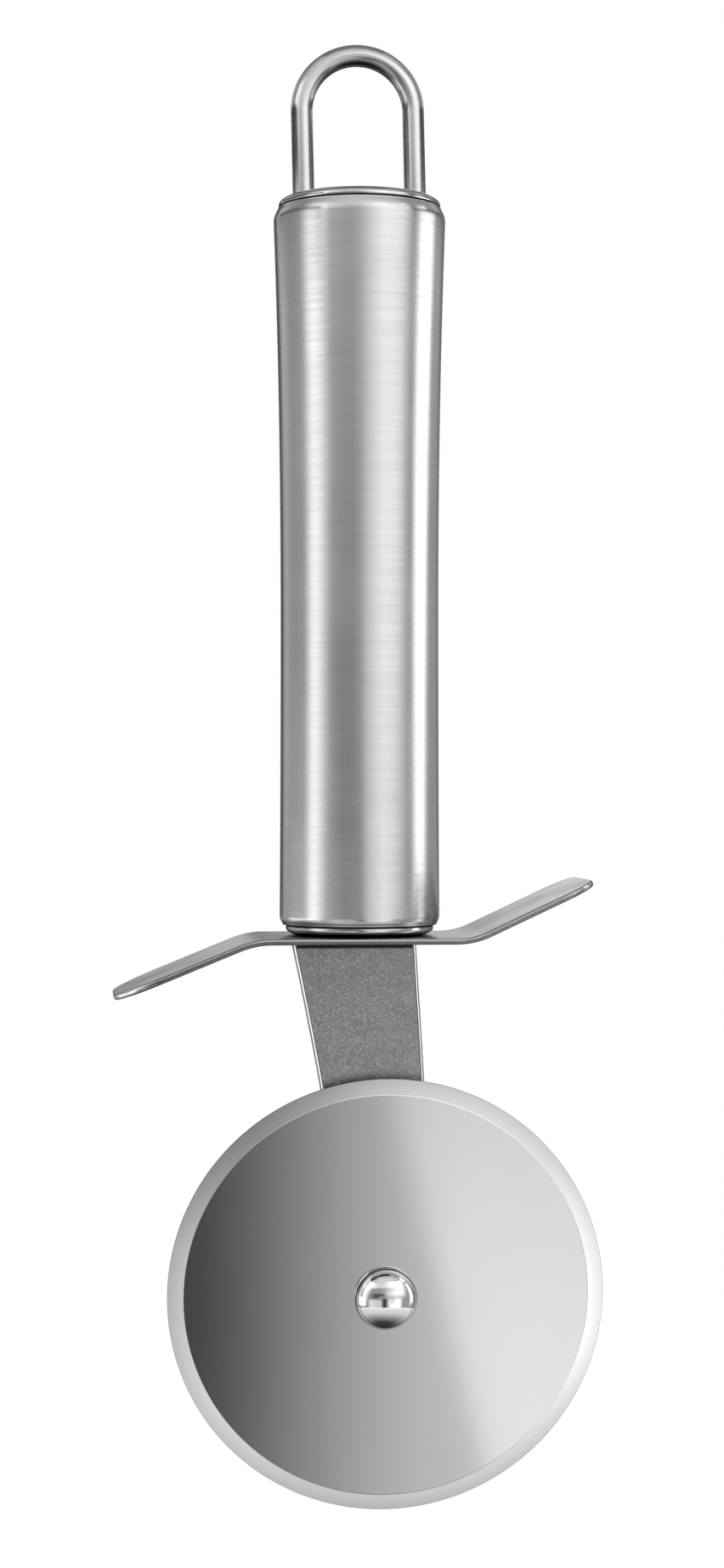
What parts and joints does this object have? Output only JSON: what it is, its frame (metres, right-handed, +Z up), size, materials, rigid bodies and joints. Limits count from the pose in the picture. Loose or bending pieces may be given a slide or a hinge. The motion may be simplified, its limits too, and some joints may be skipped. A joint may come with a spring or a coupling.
{
  "type": "pizza wheel",
  "caption": "Steel pizza wheel: a round cutting disc riveted to a flat shank under a bent finger guard, with a hollow waisted handle and a wire hanging loop.",
  "frame": {"origin": "the point inside the top of the hanging loop where a hook carries the part", "axes": "+Z up along the handle, +X to the right as seen from the rivet's domed head, +Y to the back"},
  "size_m": [0.073, 0.0254, 0.2174],
  "materials": {
    "brushed_tube": "stainless, brushed round the girth",
    "polished_cap": "polished stainless",
    "polished_wire": "polished stainless",
    "satin_guard": "stainless, satin",
    "tumbled_shank": "stainless, tumbled, with polished edges",
    "satin_wheel": "stainless, polished faces and a ground bevel",
    "mirror_rivet": "mirror polished stainless",
    "plain_washer": "stainless, as stamped",
    "weld_bead": "bare weld metal"
  },
  "bodies": {
    "handle": {"hanging_loop": "polished_wire", "top_cap": "polished_cap", "loop_weld_left": "weld_bead", "loop_weld_right": "weld_bead", "handle_tube": "brushed_tube", "bottom_cap": "polished_cap", "tang_weld_front": "weld_bead", "tang_weld_rear": "weld_bead", "finger_guard": "satin_guard", "shank": "tumbled_shank", "axle_rivet": "mirror_rivet", "wheel_washer": "plain_washer", "tail_washer": "plain_washer"},
    "wheel": {"cutting_wheel": "satin_wheel"}
  },
  "joints": [
    {"name": "wheel_spin", "type": "hinge", "parent": "handle", "child": "wheel", "pos_m": [0.00415, 0.0041, -0.18164], "axis": [0, -0.9968, -0.0802], "continuous": true}
  ]
}
